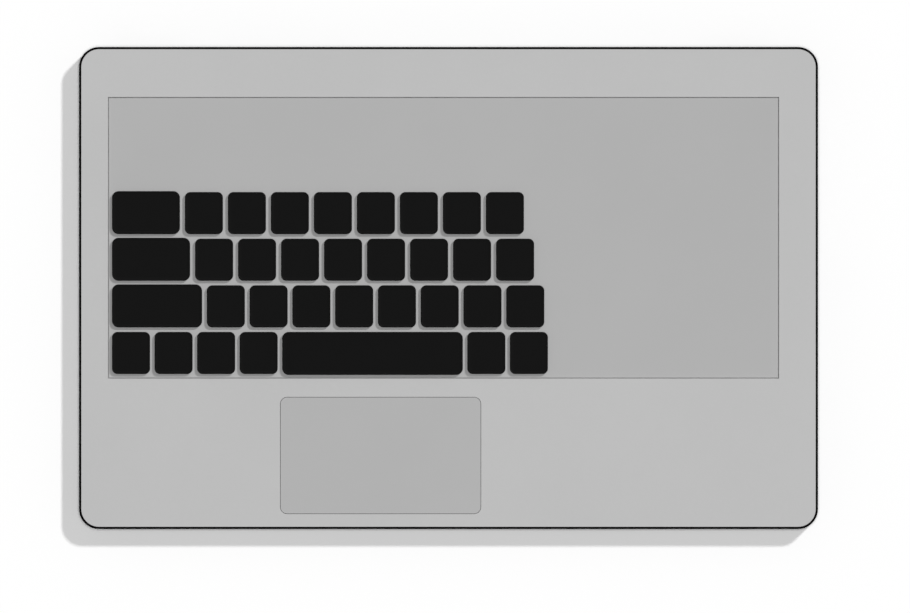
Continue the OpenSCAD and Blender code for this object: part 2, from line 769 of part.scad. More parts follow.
// Sockets. A shell is a thin steel box, open at the side of the case, with a plastic tongue inside
module shell_socket(socket) {
    translate([half_w - socket_out - socket_depth, socket[0], board_top_z]) {
        rotate([90, 0, 90]) difference() {
            linear_extrude(socket_depth) socket_2d(socket, 0);
            translate([0, 0, shell_t]) linear_extrude(socket_depth) socket_2d(socket, -shell_t);
        }
        translate([0, tongue_side - socket[1] / 2, socket[2] - shell_t - tongue_drop - tongue[1]])
            cube([tongue[0], socket[1] - 2 * tongue_side, tongue[1]]);
    }
}

// A round socket, whose mouth lies at the origin and faces down
module round_socket(socket, collar_r, bore_r, depth) {
    difference() {
        union() {
            cylinder(h = collar_l, r = collar_r);
            slab(collar_l, socket_depth) square([socket[2], socket[1]], center = true);
        }
        translate([0, 0, -past]) cylinder(h = depth + past, r = bore_r);
    }
}

module usb_sockets() {
    color("silver") for (socket = USB) shell_socket(socket);
}

module video_socket() {
    color("silver") shell_socket(VIDEO);
}

module audio_jack() {
    color("#191919") translate([half_w - socket_out, AUDIO[0], board_top_z + AUDIO[2] / 2])
        rotate([0, -90, 0]) round_socket(AUDIO, audio_collar_r, audio_bore_r, audio_depth);
}

module power_jack() {
    color("#191919") {
        translate([socket_out - half_w, POWER[0], power_z + POWER[2] / 2]) rotate([0, 90, 0]) {
            round_socket(POWER, power_collar_r, power_bore_r, power_depth);
            translate([0, 0, power_pin_in]) cylinder(h = power_depth, r = power_pin_r);
        }
        for (i = [1:len(LEAD) - 1]) rod(LEAD[i - 1], LEAD[i], lead_r);
        for (i = [1:len(LEAD) - 2]) translate(LEAD[i]) sphere(lead_r);
    }
}

// A foot is round, or long with two round ends
module rubber_feet() {
    color("#242424") for (foot = FEET) translate([foot[0], foot[1], 0]) {
        ends = foot[2] > 0 ? [-foot[2] / 2, foot[2] / 2] : [0];
        for (x = ends) translate([x, 0, 0]) rotate_extrude() polygon([
            [0, 0], [foot_r - foot_edge, 0], [foot_r, foot_edge], [foot_r, foot_h], [0, foot_h]]);
        if (foot[2] > 0) rotate([90, 0, 90]) translate([0, 0, -foot[2] / 2]) linear_extrude(foot[2]) polygon([
            [foot_edge - foot_r, 0], [foot_r - foot_edge, 0], [foot_r, foot_edge],
            [foot_r, foot_h], [-foot_r, foot_h], [-foot_r, foot_edge]]);
    }
}

module screws() {
    color("#3d3f42") {
        for (p = CASE_SCREWS) translate([p[0], p[1], floor_z + sink_h]) {
            cylinder(h = case_screw_l, r = screw_r);
            translate([0, 0, -head_h]) cylinder(h = head_h, r = head_r);
        }
        for (p = BOARD_SCREWS) translate([p[0], p[1], board_top_z]) {
            translate([0, 0, -board_t - board_bite]) cylinder(h = board_t + board_bite, r = screw_r);
            cylinder(h = head_h, r = head_r);
        }
    }
}

bottom_case();
deck();
keyboard_plate();
keyboard_membrane();
scissor_links();
rubber_domes();
stabiliser_bars();
touchpad();
touchpad_board();
touchpad_ribbon();
mainboard();
memory_module();
ssd_module();
heat_pipe();
fin_stack();
fan_housing();
fan_rotor();
battery();
speakers();
hinge_brackets();
usb_sockets();
video_socket();
audio_jack();
power_jack();
rubber_feet();
screws();
for (key = KEYS) key_cap(key);
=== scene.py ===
"""Looks of a laptop base that has lost its lid and most of its keys.

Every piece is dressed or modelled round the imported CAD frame, in metres. Blender 4.5.
"""

import json
import logging
import math
from dataclasses import dataclass, field
from enum import Enum
from typing import Callable, Dict, List, Optional, Sequence, Tuple

import bmesh
import bpy
from mathutils import Matrix, Vector


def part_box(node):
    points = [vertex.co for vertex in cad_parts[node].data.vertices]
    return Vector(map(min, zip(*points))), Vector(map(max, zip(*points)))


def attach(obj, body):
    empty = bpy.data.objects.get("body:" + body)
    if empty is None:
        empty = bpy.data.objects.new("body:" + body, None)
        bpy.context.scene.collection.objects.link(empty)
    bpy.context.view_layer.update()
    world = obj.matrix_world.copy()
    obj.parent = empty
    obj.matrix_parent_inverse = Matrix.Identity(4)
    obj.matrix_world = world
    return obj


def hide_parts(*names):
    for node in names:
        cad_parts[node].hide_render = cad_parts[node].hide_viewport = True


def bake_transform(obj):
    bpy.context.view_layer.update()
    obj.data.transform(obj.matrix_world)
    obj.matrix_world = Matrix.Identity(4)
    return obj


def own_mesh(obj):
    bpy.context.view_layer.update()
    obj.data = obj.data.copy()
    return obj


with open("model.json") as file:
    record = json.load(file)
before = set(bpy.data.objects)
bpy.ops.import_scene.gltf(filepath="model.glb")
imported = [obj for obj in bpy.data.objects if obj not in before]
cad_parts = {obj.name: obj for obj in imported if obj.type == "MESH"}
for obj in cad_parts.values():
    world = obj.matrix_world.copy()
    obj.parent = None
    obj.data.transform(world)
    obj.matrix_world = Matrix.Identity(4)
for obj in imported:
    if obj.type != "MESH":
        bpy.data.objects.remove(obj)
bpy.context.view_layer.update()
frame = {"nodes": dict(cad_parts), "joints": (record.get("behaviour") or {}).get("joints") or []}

log = logging.getLogger("laptop")

MM = 0.001
Point = Tuple[float, float, float]
FaceTest = Callable[[Vector, Vector], bool]
EdgeTest = Callable[[Vector, Vector], bool]


class Body(str, Enum):
    """The bodies that pieces ride on, apart from the keys, which are named in the frame."""

    BASE = "base"
    TOUCHPAD = "touchpad"
    FAN = "fan_rotor"


class Axis(Enum):
    """A direction that a cylinder or a pattern lies along."""

    X = (0.0, math.pi / 2, 0.0)
    Y = (math.pi / 2, 0.0, 0.0)
    Z = (0.0, 0.0, 0.0)


def linear(colour: str) -> Tuple[float, float, float, float]:
    """Turns an sRGB hex colour into the linear one that Blender's sockets take.

    Args:
        colour: six hex digits.

    Returns:
        Red, green, blue and alpha, each from 0 to 1.
    """
    parts = [int(colour[i:i + 2], 16) / 255 for i in (0, 2, 4)]
    red, green, blue = (p / 12.92 if p <= 0.04045 else ((p + 0.055) / 1.055) ** 2.4 for p in parts)
    return red, green, blue, 1.0


def per_metre(size_mm: float) -> float:
    """Gives the texture scale at which one feature is so many millimetres across."""
    return 1000.0 / size_mm


def add_node(tree: bpy.types.NodeTree, kind: str, inputs: Optional[dict] = None,
             **settings: object) -> bpy.types.Node:
    """Adds a node to a tree.

    Args:
        tree: the material's or the world's node tree.
        kind: the node's type.
        inputs: values for its sockets by name or number; a socket given as a value is linked.
        settings: properties of the node.

    Returns:
        The new node.
    """
    node = tree.nodes.new(kind)
    for key, value in settings.items():
        setattr(node, key, value)
    for key, value in (inputs or {}).items():
        if isinstance(value, bpy.types.NodeSocket):
            tree.links.new(value, node.inputs[key])
        else:
            node.inputs[key].default_value = value
    return node


# ---------------------------------------------------------------- finishes


@dataclass(frozen=True)
class Finish:
    """A surface: what it is made of, and how that surface was made.

    The grain is a fine bump, and the mottle a slow change of tone and gloss across the piece.
    """

    name: str
    colour: str
    roughness: float
    metallic: float = 0.0
    specular: float = 0.5
    grain_mm: float = 0.6
    grain_depth_mm: float = 0.01
    mottle_mm: float = 30.0
    mottle: float = 0.04
    roughness_swing: float = 0.05
    stretch: Point = (1.0, 1.0, 1.0)

    def build(self) -> bpy.types.Material:
        """Makes the material, once; a second call gives the same one.

        Returns:
            The material, with its noise, bump and shader nodes.
        """
        made = bpy.data.materials.get(self.name)
        if made:
            return made
        material = bpy.data.materials.new(self.name)
        material.use_nodes = True
        tree = material.node_tree
        tree.nodes.clear()
        place = add_node(tree, "ShaderNodeTexCoord").outputs["Object"]
        turned = add_node(tree, "ShaderNodeMapping", {"Vector": place, "Scale": self.stretch}).outputs[0]
        shader = add_node(tree, "ShaderNodeBsdfPrincipled", {
            "Metallic": self.metallic,
            "Specular IOR Level": self.specular,
            "Base Color": self._tone(tree, place),
            "Roughness": self._gloss(tree, turned),
            "Normal": self._bump(tree, turned),
        })
        add_node(tree, "ShaderNodeOutputMaterial", {"Surface": shader.outputs[0]})
        return material

    def _tone(self, tree: bpy.types.NodeTree, place: bpy.types.NodeSocket) -> bpy.types.NodeSocket:
        """Adds the base colour: the finish's own, a little lighter and darker in slow patches.

        Args:
            tree: the material's node tree.
            place: where on the piece a point lies.

        Returns:
            The colour.
        """
        red, green, blue, _ = linear(self.colour)
        noise = add_node(tree, "ShaderNodeTexNoise", {
            "Vector": place, "Scale": per_metre(self.mottle_mm), "Detail": 3.0, "Roughness": 0.6})
        ramp = add_node(tree, "ShaderNodeValToRGB", {"Fac": noise.outputs["Fac"]})
        for element, share in zip(ramp.color_ramp.elements, (1 - self.mottle, 1 + self.mottle)):
            element.color = (red * share, green * share, blue * share, 1.0)
        ramp.color_ramp.elements[0].position = 0.3
        ramp.color_ramp.elements[1].position = 0.7
        return ramp.outputs["Color"]

    def _gloss(self, tree: bpy.types.NodeTree, place: bpy.types.NodeSocket) -> bpy.types.NodeSocket:
        """Adds the roughness, which swings a little from grain to grain.

        Args:
            tree: the material's node tree.
            place: where on the piece a point lies.

        Returns:
            The roughness.
        """
        noise = add_node(tree, "ShaderNodeTexNoise", {
            "Vector": place, "Scale": per_metre(self.grain_mm * 4), "Detail": 4.0})
        return add_node(tree, "ShaderNodeMapRange", {
            "Value": noise.outputs["Fac"], "From Min": 0.3, "From Max": 0.7,
            "To Min": self.roughness - self.roughness_swing,
            "To Max": self.roughness + self.roughness_swing}).outputs["Result"]

    def _bump(self, tree: bpy.types.NodeTree, place: bpy.types.NodeSocket) -> bpy.types.NodeSocket:
        """Adds the normal, tilted by the grain.

        Args:
            tree: the material's node tree.
            place: where on the piece a point lies.

        Returns:
            The normal.
        """
        noise = add_node(tree, "ShaderNodeTexNoise", {
            "Vector": place, "Scale": per_metre(self.grain_mm), "Detail": 2.0})
        return add_node(tree, "ShaderNodeBump", {
            "Height": noise.outputs["Fac"], "Strength": 1.0,
            "Distance": self.grain_depth_mm * MM}).outputs["Normal"]


@dataclass(frozen=True)
class Striped(Finish):
    """Clear film over flat conductors, which run along Y and show as darker stripes."""

    pitch_mm: float = 1.0
    stripe: str = "8a7d55"

    def _tone(self, tree: bpy.types.NodeTree, place: bpy.types.NodeSocket) -> bpy.types.NodeSocket:
        """Adds the film's colour, with a stripe at every conductor.

        Args:
            tree: the material's node tree.
            place: where on the piece a point lies.

        Returns:
            The colour.
        """
        wave = add_node(tree, "ShaderNodeTexWave", {
            "Vector": place, "Scale": per_metre(self.pitch_mm) / 2 / math.pi * 0.5}, bands_direction="X")
        edge = add_node(tree, "ShaderNodeMapRange", {
            "Value": wave.outputs["Fac"], "From Min": 0.45, "From Max": 0.55}).outputs["Result"]
        mixed = add_node(tree, "ShaderNodeMix", {0: edge, 6: linear(self.colour), 7: linear(self.stripe)},
                         data_type="RGBA")
        return mixed.outputs[2]


@dataclass(frozen=True)
class SolderMask(Finish):
    """Solder mask over copper tracks, which show through as lighter lines, with tinned holes between.

    The tracks of a real board are finer than this; these are as coarse as they need to be to show.
    """

    track_field_mm: float = 16.0
    track_pitch_mm: float = 1.2
    hole_field_mm: float = 3.4
    hole_mm: float = 0.5
    track: str = "2f7a50"
    tin: str = "b9b6a4"

    def _tone(self, tree: bpy.types.NodeTree, place: bpy.types.NodeSocket) -> bpy.types.NodeSocket:
        """Adds the mask's colour, lighter over a track and metal-grey at a hole.

        Args:
            tree: the material's node tree.
            place: where on the piece a point lies.

        Returns:
            The colour.
        """
        fields = add_node(tree, "ShaderNodeTexVoronoi", {
            "Vector": place, "Scale": per_metre(self.track_field_mm)}, distance="MANHATTAN")
        tracks = self.track_field_mm / self.track_pitch_mm
        steps = add_node(tree, "ShaderNodeMath", {0: fields.outputs["Distance"], 1: tracks},
                         operation="MULTIPLY")
        part = add_node(tree, "ShaderNodeMath", {0: steps.outputs[0]}, operation="FRACT")
        line = add_node(tree, "ShaderNodeMapRange", {
            "Value": part.outputs[0], "From Min": 0.66, "From Max": 0.72}).outputs["Result"]
        mask = add_node(tree, "ShaderNodeMix", {0: line, 6: linear(self.colour), 7: linear(self.track)},
                        data_type="RGBA")
        holes = add_node(tree, "ShaderNodeTexVoronoi", {
            "Vector": place, "Scale": per_metre(self.hole_field_mm)})
        size = self.hole_mm / self.hole_field_mm / 2
        hole = add_node(tree, "ShaderNodeMapRange", {
            "Value": holes.outputs["Distance"], "From Min": size, "From Max": size * 1.3,
            "To Min": 1.0, "To Max": 0.0}).outputs["Result"]
        return add_node(tree, "ShaderNodeMix", {0: hole, 6: mask.outputs[2], 7: linear(self.tin)},
                        data_type="RGBA").outputs[2]


# Bead-blasted, clear-anodised aluminium sheet: soft, even grey with a fine sparkle and no lines.
DECK_METAL = Finish("anodised_aluminium", "a8a8a8", 0.5, metallic=1.0, grain_mm=0.7, grain_depth_mm=0.012,
                    mottle_mm=60.0, mottle=0.012, roughness_swing=0.03)
# Satin grey paint, baked on to the aluminium plate.
PLATE_METAL = Finish("satin_paint", "aeaeae", 0.5, specular=0.2, grain_mm=0.5, grain_depth_mm=0.006,
                     mottle_mm=50.0, mottle=0.01, roughness_swing=0.03)
# Black ABS from a spark-eroded mould: a dull, even grain that catches the light at a low angle.
CASE_PLASTIC = Finish("textured_abs", "0b0b0c", 0.5, specular=0.3, grain_mm=0.5, grain_depth_mm=0.02,
                      mottle=0.02, roughness_swing=0.02)
# Painted shade: the rim's upward faces get a darker copy of the case's black ABS with almost no sheen, so
# that they read as a black line from above.
RIM_PAINTED_SHADE = Finish("rim_abs_painted_shade", "040404", 0.75, specular=0.02, grain_mm=0.6, grain_depth_mm=0.01)
# Black PBT key caps, finely etched and a little worn to a shine.
KEY_PLASTIC = Finish("etched_pbt", "0b0b0b", 0.5, specular=0.05, grain_mm=0.35, grain_depth_mm=0.008,
                     mottle_mm=14.0, mottle=0.04, roughness_swing=0.025)
# Matt polyester film over the touchpad's plate.
PAD_FILM = Finish("matt_polyester_film", "aeaeae", 0.42, specular=0.3, grain_mm=0.4, grain_depth_mm=0.004,
                  mottle_mm=40.0, mottle=0.01)
# Natural acetal: white, waxy scissor links.
LINK_PLASTIC = Finish("natural_acetal", "dcdcd6", 0.35, grain_depth_mm=0.002)
# Moulded silicone, a cloudy white.
DOME_RUBBER = Finish("silicone_rubber", "c9c9c2", 0.5, grain_depth_mm=0.004)
# Black nitrile rubber, dull and slightly dusty.
FOOT_RUBBER = Finish("nitrile_rubber", "232325", 0.8, grain_mm=0.5, grain_depth_mm=0.03, mottle=0.12)
# Nickel-plated steel sheet, bright with faint rolling lines along X.
PLATED_STEEL = Finish("nickel_plated_steel", "c4c5c7", 0.28, metallic=1.0, grain_mm=0.4,
                      grain_depth_mm=0.003, stretch=(0.1, 1.0, 1.0))
# Zinc-plated and black-passivated steel screws and fan box.
DARK_STEEL = Finish("black_zinc_steel", "46484c", 0.4, metallic=1.0, grain_mm=0.4, grain_depth_mm=0.006)
# Bare copper, slightly tarnished in patches.
COPPER = Finish("tarnished_copper", "b8744a", 0.34, metallic=1.0, mottle_mm=12.0, mottle=0.12)
# Gold flash on spring contacts.
GOLD = Finish("gold_flash", "d6b25e", 0.25, metallic=1.0, grain_depth_mm=0.001)
# Glass-fibre board under green solder mask.
BOARD_GREEN = SolderMask("solder_mask", "1d5638", 0.38, grain_depth_mm=0.004)
# The boards' sawn edges: bare glass fibre and resin.
BOARD_EDGE = Finish("glass_fibre_edge", "7c8456", 0.7, specular=0.3, grain_mm=0.3, grain_depth_mm=0.01)
# Black epoxy of moulded chips.
CHIP_EPOXY = Finish("chip_epoxy", "1a1b1d", 0.6, grain_mm=0.3, grain_depth_mm=0.01)
# Polished back of a bare silicon die.
SILICON = Finish("silicon_die", "6a6e7a", 0.12, metallic=0.8, grain_depth_mm=0.0005)
# Black glass-filled nylon of sockets, fan and speakers.
SOCKET_NYLON = Finish("glass_filled_nylon", "141416", 0.5, specular=0.3, grain_depth_mm=0.008)
# Clear polyester sheet of the membrane and the ribbons, with a yellow cast.
POLYESTER = Finish("polyester_sheet", "b9b39a", 0.3, grain_depth_mm=0.002)
# Flat cable: black coverlay over the conductors, which stand out a little.
RIBBON = Striped("flat_cable", "1b1a18", 0.4, stripe="34312b", grain_depth_mm=0.002)
# Laminated foil pouch of the battery's cells, wrapped in black film.
BATTERY_WRAP = Finish("battery_wrap", "1c1c1e", 0.35, grain_mm=3.0, grain_depth_mm=0.05, mottle=0.1)


# ---------------------------------------------------------------- bench


class Work:
    """One mesh on the bench, shaped in edit mode and finished with modifiers."""

    def __init__(self, obj: bpy.types.Object) -> None:
        """Takes a mesh object on to the bench."""
        self.obj = obj

    @staticmethod
    def clear() -> None:
        """Leaves edit mode and deselects everything."""
        if bpy.context.mode != "OBJECT":
            bpy.ops.object.mode_set(mode="OBJECT")
        bpy.ops.object.select_all(action="DESELECT")

    @classmethod
    def _taken(cls, name: str) -> "Work":
        """Takes the primitive that was just added, and puts its place into its mesh.

        Args:
            name: the piece's name.

        Returns:
            The primitive.
        """
        obj = bpy.context.active_object
        obj.name = obj.data.name = name
        bpy.ops.object.transform_apply(location=True, rotation=True, scale=True)
        return cls(obj)

    @classmethod
    def box(cls, name: str, low: Sequence[float], high: Sequence[float]) -> "Work":
        """Adds a box between two corners.

        Args:
            name: the piece's name.
            low: lowest corner, in metres.
            high: highest corner.

        Returns:
            The box, ready to shape.
        """
        low, high = Vector(low), Vector(high)
        cls.clear()
        bpy.ops.mesh.primitive_cube_add(size=1, location=(low + high) / 2, scale=high - low)
        return cls._taken(name)

    @classmethod
    def turned(cls, name: str, base: Sequence[float], radii: Tuple[float, float], height: float,
               axis: Axis = Axis.Z, sides: int = 32) -> "Work":
        """Adds a cylinder or a cone.

        Args:
            name: the piece's name.
            base: middle of its whole height, in metres.
            radii: radius at its lower and at its upper end.
            height: its length.
            axis: what it lies along.
            sides: how many sides it has.

        Returns:
            The round piece, ready to shape.
        """
        cls.clear()
        bpy.ops.mesh.primitive_cone_add(vertices=sides, radius1=radii[0], radius2=radii[1], depth=height,
                                        location=base, rotation=axis.value)
        return cls._taken(name)

    @classmethod
    def copy_of(cls, name: str, node: str) -> "Work":
        """Copies a CAD node's mesh, with its loose triangles merged into faces.

        Args:
            name: the new piece's name.
            node: the CAD node.

        Returns:
            The copy.
        """
        cls.clear()
        obj = bpy.data.objects.new(name, frame["nodes"][node].data.copy())
        bpy.context.scene.collection.objects.link(obj)
        obj.data.materials.clear()
        work = cls(obj)
        work._edit()
        bpy.ops.mesh.select_all(action="SELECT")
        bpy.ops.mesh.remove_doubles(threshold=0.002 * MM)
        bpy.ops.mesh.dissolve_limited(angle_limit=math.radians(1.0))
        cls.clear()
        return work

    @classmethod
    def wire(cls, name: str, points: Sequence[Sequence[float]], radius: float, sides: int = 3) -> "Work":
        """Bends a round wire through some points.

        Args:
            name: the piece's name.
            points: the corners of its route, in metres.
            radius: the wire's radius.
            sides: roundness of the wire.

        Returns:
            The wire as a mesh.
        """
        cls.clear()
        curve = bpy.data.curves.new(name, "CURVE")
        curve.dimensions = "3D"
        curve.bevel_depth = radius
        curve.bevel_resolution = sides
        curve.use_fill_caps = True
        spline = curve.splines.new("POLY")
        spline.points.add(len(points) - 1)
        for place, point in zip(spline.points, points):
            place.co = (*point, 1.0)
        obj = bpy.data.objects.new(name, curve)
        bpy.context.scene.collection.objects.link(obj)
        obj.select_set(True)
        bpy.context.view_layer.objects.active = obj
        bpy.ops.object.convert(target="MESH")
        work = cls(bpy.context.active_object)
        work.obj.name = name
        return work

    def _edit(self) -> None:
        """Opens this mesh in edit mode, alone."""
        self.clear()
        self.obj.select_set(True)
        bpy.context.view_layer.objects.active = self.obj
        bpy.ops.object.mode_set(mode="EDIT")

    def faces(self, test: FaceTest) -> "Work":
        """Selects faces in edit mode.

        Args:
            test: is given a face's middle and normal.

        Returns:
            This piece, in edit mode.
        """
        self._edit()
        bpy.ops.mesh.select_mode(type="FACE")
        bpy.ops.mesh.select_all(action="DESELECT")
        mesh = bmesh.from_edit_mesh(self.obj.data)
        for face in mesh.faces:
            face.select_set(test(face.calc_center_median(), face.normal))
        bmesh.update_edit_mesh(self.obj.data)
        return self

    def edges(self, test: EdgeTest) -> "Work":
        """Selects edges in edit mode.

        Args:
            test: is given the places of an edge's two ends.

        Returns:
            This piece, in edit mode.
        """
        self._edit()
        bpy.ops.mesh.select_mode(type="EDGE")
        bpy.ops.mesh.select_all(action="DESELECT")
        mesh = bmesh.from_edit_mesh(self.obj.data)
        for edge in mesh.edges:
            edge.select_set(test(edge.verts[0].co, edge.verts[1].co))
        bmesh.update_edit_mesh(self.obj.data)
        return self

    def inset(self, by: float, drop: float = 0.0) -> "Work":
        """Insets the selected faces, and moves the inner ones down by drop."""
        bpy.ops.mesh.inset(thickness=by, depth=-drop)
        return self

    def extrude(self, move: Sequence[float]) -> "Work":
        """Extrudes the selected faces by a vector."""
        bpy.ops.mesh.extrude_region_move(TRANSFORM_OT_translate={"value": tuple(move)})
        return self

    def round_edges(self, by: float, segments: int) -> "Work":
        """Rounds the selected edges."""
        bpy.ops.mesh.bevel(offset=by, offset_type="OFFSET", segments=segments, affect="EDGES")
        return self

    def bridge(self) -> "Work":
        """Joins two selected faces by a hole through the piece."""
        bpy.ops.mesh.bridge_edge_loops()
        return self

    def close(self) -> "Work":
        """Goes back to object mode."""
        self.clear()
        return self

    def modifier(self, kind: str, **settings: object) -> "Work":
        """Adds one modifier and applies it.

        Args:
            kind: the modifier's type.
            settings: its properties.

        Returns:
            This piece.
        """
        self.clear()
        self.obj.select_set(True)
        bpy.context.view_layer.objects.active = self.obj
        modifier = self.obj.modifiers.new(kind.lower(), kind)
        for key, value in settings.items():
            setattr(modifier, key, value)
        bpy.ops.object.modifier_apply(modifier=modifier.name)
        return self

    def soften(self, width_mm: float, segments: int = 2, angle: float = 35.0) -> "Work":
        """Rounds every sharp edge a little and shades the rest smooth.

        Args:
            width_mm: width of the rounding.
            segments: how many facets round each edge.
            angle: edges sharper than this, in degrees, are rounded.

        Returns:
            This piece.
        """
        self.modifier("BEVEL", width=width_mm * MM, segments=segments, limit_method="ANGLE",
                      angle_limit=math.radians(angle), use_clamp_overlap=True)
        return self.smooth(angle)

    def smooth(self, angle: float = 35.0) -> "Work":
        """Shades the faces smooth; the larger ones set the normals, so that flat sheets stay flat.

        Args:
            angle: edges sharper than this, in degrees, stay sharp.

        Returns:
            This piece.
        """
        self.clear()
        self.obj.select_set(True)
        bpy.context.view_layer.objects.active = self.obj
        bpy.ops.object.shade_smooth_by_angle(angle=math.radians(angle))
        return self.modifier("WEIGHTED_NORMAL", mode="FACE_AREA", weight=100, keep_sharp=True)

    def join(self, *others: "Work") -> "Work":
        """Takes other pieces' meshes into this one."""
        self.clear()
        for other in others:
            other.obj.select_set(True)
        self.obj.select_set(True)
        bpy.context.view_layer.objects.active = self.obj
        bpy.ops.object.join()
        return self

    def copy(self, name: str, matrix: Matrix = Matrix.Identity(4)) -> "Work":
        """Copies the piece, with a mesh of its own.

        Args:
            name: the copy's name.
            matrix: moves the copy.

        Returns:
            The copy.
        """
        obj = bpy.data.objects.new(name, self.obj.data.copy())
        obj.data.name = name
        obj.data.transform(matrix)
        bpy.context.scene.collection.objects.link(obj)
        return Work(obj)

    def discard(self) -> None:
        """Removes a piece that was only a pattern for its copies."""
        bpy.data.objects.remove(self.obj)

    def dress(self, finish: Finish, test: Optional[FaceTest] = None) -> "Work":
        """Gives the piece a finish, or only the faces that pass a test.

        Args:
            finish: what it is made of.
            test: is given a face's middle and normal; without it the whole piece is dressed.

        Returns:
            This piece.
        """
        self.clear()
        materials = self.obj.data.materials
        if test is None:
            materials.clear()
        materials.append(finish.build())
        for face in self.obj.data.polygons:
            if test is None or test(face.center, face.normal):
                face.material_index = len(materials) - 1
        return self

    def fit(self, body: str, slot: str, *nodes: str) -> "Work":
        """Puts the piece into the model.

        Args:
            body: the body that it rides on.
            slot: the record's material slot; not used.
            nodes: the CAD nodes that it stands for.

        Returns:
            This piece.
        """
        self.clear()
        carrier = body.value if isinstance(body, Body) else body
        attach(self.obj, carrier)
        if nodes:
            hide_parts(*nodes)
        log.info("%s on %s: %d faces", self.obj.name, carrier, len(self.obj.data.polygons))
        return self


def shift(x: float = 0.0, y: float = 0.0, z: float = 0.0) -> Matrix:
    """Returns a move by so many metres."""
    return Matrix.Translation((x, y, z))


def inside(low: Sequence[float], high: Sequence[float], slack: float = 0.05 * MM) -> FaceTest:
    """Makes a test for faces whose middle lies in a box.

    Args:
        low: lowest corner.
        high: highest corner.
        slack: how far outside the box still counts.

    Returns:
        The test.
    """
    return lambda middle, _: all(a - slack <= m <= b + slack for a, m, b in zip(low, middle, high))


# ---------------------------------------------------------------- sub-assemblies


@dataclass
class Housing:
    """The black tub, the grey deck that closes it, and its feet and screws."""

    edge_mm: float = 0.18
    deck_edge_mm: float = 0.12
    painted_shade_low: float = 15.4 * MM
    head_radius: float = 2.3 * MM
    head_height: float = 1.2 * MM
    shank_radius: float = 1.25 * MM
    slot_width: float = 0.7 * MM
    slot_length: float = 2.6 * MM
    slot_depth: float = 0.7 * MM

    def build(self) -> None:
        """Builds the outer pieces."""
        tub = Work.copy_of("case_tub", "bottom_case").soften(self.edge_mm)
        # Painted shade: the rim's upward faces, above this height, get the darker, sheenless copy of the case
        # plastic.
        tub.dress(CASE_PLASTIC).dress(RIM_PAINTED_SHADE, lambda m, n: n.z > 0.1 and m.z > self.painted_shade_low)
        tub.fit(Body.BASE, "case_plastic", "bottom_case")
        deck = Work.copy_of("deck_sheet", "deck").soften(self.deck_edge_mm)
        deck.dress(DECK_METAL).fit(Body.BASE, "deck_aluminium", "deck")
        feet = Work.copy_of("foot_pads", "rubber_feet").soften(self.edge_mm)
        feet.dress(FOOT_RUBBER).fit(Body.BASE, "foot_rubber", "rubber_feet")
        self.screws()

    def _pattern(self, name: str) -> Work:
        """Models a screw head with a cross recess, head down on the origin.

        Args:
            name: the pattern's name.

        Returns:
            The head, which is dropped once it is copied.
        """
        head = Work.turned(name, (0, 0, self.head_height / 2), (self.head_radius,) * 2, self.head_height)
        head.faces(lambda m, n: n.z < -0.9).inset(0.3 * MM, -0.15 * MM).close()
        for x, y in ((self.slot_length, self.slot_width), (self.slot_width, self.slot_length)):
            half = Vector((x / 2, y / 2, self.slot_depth))
            cutter = Work.box("cutter", -half, half)
            head.modifier("BOOLEAN", object=cutter.obj, operation="DIFFERENCE", solver="EXACT")
            cutter.discard()
        return head.soften(0.1)

    def screws(self) -> None:
        """Puts a recessed head and a shank where each CAD screw is."""
        pattern = self._pattern("screw_set")
        solids = screw_places()
        made = []
        for x, y, low, high, head_down in solids:
            if head_down:
                head = pattern.copy("head", shift(x, y, low))
                shank = (low + self.head_height, high)
            else:
                flip = Matrix.Rotation(math.pi, 4, "X")
                head = pattern.copy("head", shift(x, y, high) @ flip)
                shank = (low, high - self.head_height)
            length = shank[1] - shank[0]
            made += [head, Work.turned("shank", (x, y, sum(shank) / 2), (self.shank_radius,) * 2, length,
                                       sides=20)]
        pattern.discard()
        whole = made[0].join(*made[1:])
        whole.obj.name = "screw_set"
        whole.dress(DARK_STEEL).fit(Body.BASE, "dark_steel", "screws")


def screw_places() -> List[Tuple[float, float, float, float, bool]]:
    """Finds the CAD screws from their mesh.

    Returns:
        For each, the x and y of its axis, its lowest and highest z, and whether its head is down.
    """
    mesh = bmesh.new()
    mesh.from_mesh(frame["nodes"]["screws"].data)
    bmesh.ops.remove_doubles(mesh, verts=mesh.verts, dist=0.002 * MM)
    found, seen = [], set()
    for start in mesh.verts:
        if start in seen:
            continue
        seen.add(start)
        island, todo = [], [start]
        while todo:
            vert = todo.pop()
            island.append(vert.co.copy())
            for edge in vert.link_edges:
                other = edge.other_vert(vert)
                if other not in seen:
                    seen.add(other)
                    todo.append(other)
        xs, ys, zs = ([c[i] for c in island] for i in range(3))
        x, y, low, high = (min(xs) + max(xs)) / 2, (min(ys) + max(ys)) / 2, min(zs), max(zs)
        width_low = max(math.hypot(c.x - x, c.y - y) for c in island if c.z < low + 0.1 * MM)
        width_high = max(math.hypot(c.x - x, c.y - y) for c in island if c.z > high - 0.1 * MM)
        found.append((x, y, low, high, width_low > width_high))
    mesh.free()
    return found


